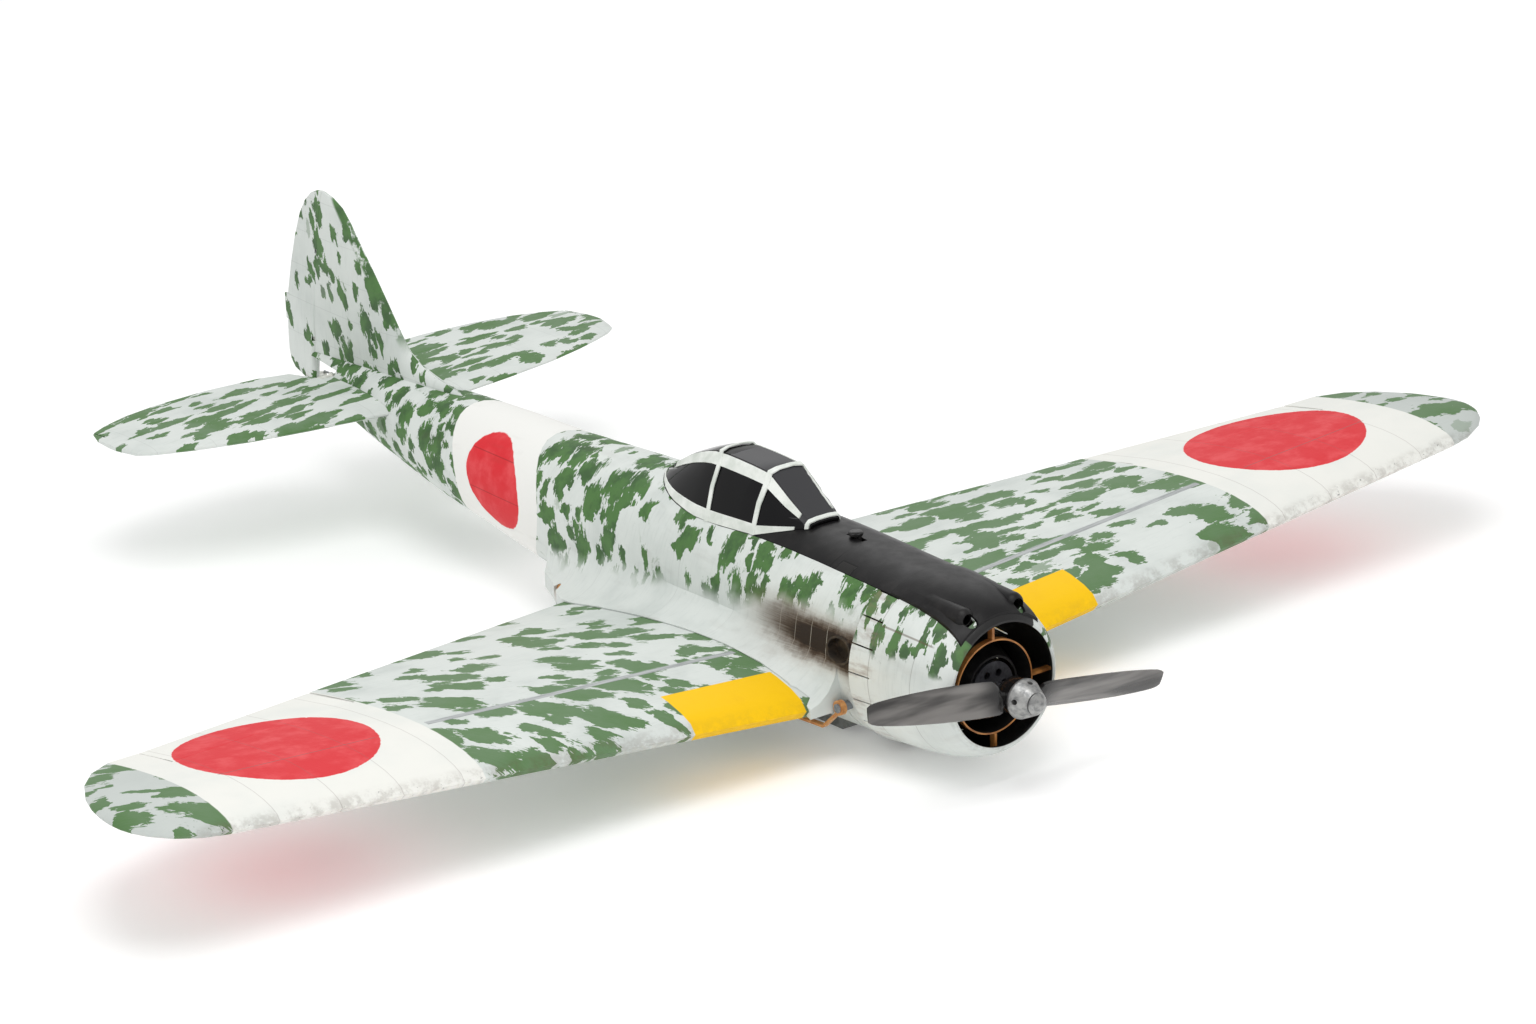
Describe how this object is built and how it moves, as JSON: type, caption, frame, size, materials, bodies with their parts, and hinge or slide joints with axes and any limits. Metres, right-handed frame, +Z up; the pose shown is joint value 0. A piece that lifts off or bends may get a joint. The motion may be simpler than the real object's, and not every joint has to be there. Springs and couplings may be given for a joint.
{
  "type": "rc warbird plane",
  "caption": "Radio-controlled foam fighter model with camouflage paint, a lift-off canopy hatch, electric propeller and linked control surfaces.",
  "frame": {"origin": "under the middle of the whole plane, on the surface the belly skid rests on", "axes": "+X out along the port wing, -Y towards the nose, +Z up"},
  "size_m": [1.2, 0.9118, 0.25],
  "materials": {
    "painted_foam": "silver-white foam paint with hand-brushed green mottle, red discs, yellow and white bands",
    "black_deck": "satin black",
    "canopy_glazing": "glossy black moulding, looks like dark glazing",
    "canopy_white": "white paint with green smudges",
    "smoke_grey_blade": "glossy grey nylon",
    "cast_aluminium": "cast and turned, dull bright",
    "steel": "bright drawn wire",
    "motor_metal": "anodised bell over steel laminations",
    "engine_black": "flat black",
    "duct_ply": "orange-brown thin wood",
    "plywood": "light aircraft ply",
    "carbon_strip": "carbon strip under paint",
    "nylon": "white nylon",
    "servo_case": "translucent blue case",
    "battery_wrap": "heat-shrunk wrap",
    "strap_web": "woven hook-and-loop webbing",
    "shrink_wrap": "heat-shrink sleeve",
    "skid_plastic": "scuffed grey belly plate",
    "scoop_grey": "dark green-grey",
    "exhaust_soot": "sooty dark metal",
    "dowel_grey": "grey-painted dowel",
    "tan_rubber": "tan rubber band"
  },
  "bodies": {
    "airframe": {"fuselage_left_half": "painted_foam", "fuselage_right_half": "painted_foam", "vertical_fin": "painted_foam", "horizontal_stabilizer": "painted_foam", "wing_left": "painted_foam", "wing_right": "painted_foam", "wing_spars": "carbon_strip", "spar_joiner": "carbon_strip", "belly_pan": "painted_foam", "belly_skid": "skid_plastic", "wing_dowels": "dowel_grey", "wing_bands": "tan_rubber", "motor_box": "plywood", "motor_stator": "motor_metal", "motor_screws": "steel", "cowl_shell": "painted_foam", "cowl_flaps": "painted_foam", "cooling_duct_ring": "duct_ply", "crankcase_cone": "engine_black", "gun_cover": "black_deck", "gun_ports": "engine_black", "chin_scoop": "scoop_grey", "exhaust_stubs": "exhaust_soot", "equipment_tray": "plywood", "battery": "battery_wrap", "battery_strap": "strap_web", "speed_controller": "shrink_wrap", "receiver": "shrink_wrap", "elevator_servo": "servo_case", "rudder_servo": "servo_case", "aileron_servos": "servo_case", "hinge_lugs": "nylon", "hatch_former": "plywood"},
    "propeller": {"propeller_blades": "smoke_grey_blade", "spinner_nut": "cast_aluminium", "prop_shaft": "steel", "motor_bell": "motor_metal"},
    "aileron_left": {"aileron_left": "painted_foam", "aileron_fittings_left": "nylon"},
    "aileron_right": {"aileron_right": "painted_foam", "aileron_fittings_right": "nylon"},
    "elevator": {"elevator_left": "painted_foam", "elevator_right": "painted_foam", "elevator_fittings": "nylon"},
    "rudder": {"rudder": "painted_foam", "rudder_fittings": "nylon"},
    "aileron_servo_arm_left": {"aileron_servo_arm_left": "nylon"},
    "aileron_servo_arm_right": {"aileron_servo_arm_right": "nylon"},
    "elevator_servo_arm": {"elevator_servo_arm": "nylon"},
    "rudder_servo_arm": {"rudder_servo_arm": "nylon"},
    "aileron_rod_left": {"aileron_pushrod_left": "steel"},
    "aileron_rod_right": {"aileron_pushrod_right": "steel"},
    "elevator_rod": {"elevator_pushrod": "steel"},
    "rudder_rod": {"rudder_pushrod": "steel"},
    "hatch": {"hatch_deck": "black_deck", "canopy_glass": "canopy_glazing", "canopy_frame": "canopy_white"},
    "latch": {"hatch_latch": "black_deck"}
  },
  "joints": [
    {"name": "propeller_spin", "type": "hinge", "parent": "airframe", "child": "propeller", "pos_m": [0, -0.4291, 0.066], "axis": [0, 1, 0], "continuous": true},
    {"name": "aileron_left_hinge", "type": "hinge", "parent": "airframe", "child": "aileron_left", "pos_m": [0.4325, -0.16816, 0.07707], "axis": [0.9766, -0.1978, 0.0848], "range_deg": [-20, 20]},
    {"name": "aileron_right_hinge", "type": "hinge", "parent": "airframe", "child": "aileron_right", "pos_m": [-0.4325, -0.16816, 0.07707], "axis": [0.9766, 0.1978, -0.0848], "range_deg": [-20, 20]},
    {"name": "elevator_hinge", "type": "hinge", "parent": "airframe", "child": "elevator", "pos_m": [0, 0.3741, 0.1038], "axis": [1, 0, 0], "range_deg": [-20, 20]},
    {"name": "rudder_hinge", "type": "hinge", "parent": "airframe", "child": "rudder", "pos_m": [0, 0.41035, 0.16115], "axis": [0, -0.1764, 0.9843], "range_deg": [-25, 25]},
    {"name": "aileron_servo_left_turn", "type": "hinge", "parent": "airframe", "child": "aileron_servo_arm_left", "pos_m": [0.42019, -0.22893, 0.07707], "axis": [0.9766, -0.1978, 0.0848], "range_deg": [-20, 20]},
    {"name": "aileron_servo_right_turn", "type": "hinge", "parent": "airframe", "child": "aileron_servo_arm_right", "pos_m": [-0.42019, -0.22893, 0.07707], "axis": [0.9766, 0.1978, -0.0848], "range_deg": [-20, 20]},
    {"name": "elevator_servo_turn", "type": "hinge", "parent": "airframe", "child": "elevator_servo_arm", "pos_m": [-0.009, -0.0839, 0.1038], "axis": [1, 0, 0], "range_deg": [-20, 20]},
    {"name": "rudder_servo_turn", "type": "hinge", "parent": "airframe", "child": "rudder_servo_arm", "pos_m": [0, -0.1179, 0.091], "axis": [0, -0.1764, 0.9843], "range_deg": [-25, 25]},
    {"name": "aileron_rod_left_pivot", "type": "hinge", "parent": "aileron_servo_arm_left", "child": "aileron_rod_left", "pos_m": [0.42119, -0.22913, 0.06511], "axis": [0.9766, -0.1978, 0.0848], "range_deg": [-20, 20]},
    {"name": "aileron_rod_right_pivot", "type": "hinge", "parent": "aileron_servo_arm_right", "child": "aileron_rod_right", "pos_m": [-0.42119, -0.22913, 0.06511], "axis": [0.9766, 0.1978, -0.0848], "range_deg": [-20, 20]},
    {"name": "elevator_rod_pivot", "type": "hinge", "parent": "elevator_servo_arm", "child": "elevator_rod", "pos_m": [-0.009, -0.0839, 0.0938], "axis": [1, 0, 0], "range_deg": [-20, 20]},
    {"name": "rudder_rod_pivot", "type": "hinge", "parent": "rudder_servo_arm", "child": "rudder_rod", "pos_m": [0.01, -0.1179, 0.091], "axis": [0, -0.1764, 0.9843], "range_deg": [-25, 25]},
    {"name": "hatch_lift", "type": "slide", "parent": "airframe", "child": "hatch", "axis": [0, 0, 1], "range_m": [0, 0.06]},
    {"name": "latch_slide", "type": "slide", "parent": "hatch", "child": "latch", "axis": [0, -1, 0], "range_m": [0, 0.005]}
  ],
  "couplings": [
    {"joint": "aileron_right_hinge", "follows": "aileron_left_hinge", "ratio": -1},
    {"joint": "aileron_servo_left_turn", "follows": "aileron_left_hinge", "ratio": 1},
    {"joint": "aileron_servo_right_turn", "follows": "aileron_left_hinge", "ratio": -1},
    {"joint": "aileron_rod_left_pivot", "follows": "aileron_left_hinge", "ratio": -1},
    {"joint": "aileron_rod_right_pivot", "follows": "aileron_left_hinge", "ratio": 1},
    {"joint": "elevator_servo_turn", "follows": "elevator_hinge", "ratio": 1},
    {"joint": "elevator_rod_pivot", "follows": "elevator_hinge", "ratio": -1},
    {"joint": "rudder_servo_turn", "follows": "rudder_hinge", "ratio": 1},
    {"joint": "rudder_rod_pivot", "follows": "rudder_hinge", "ratio": -1}
  ]
}
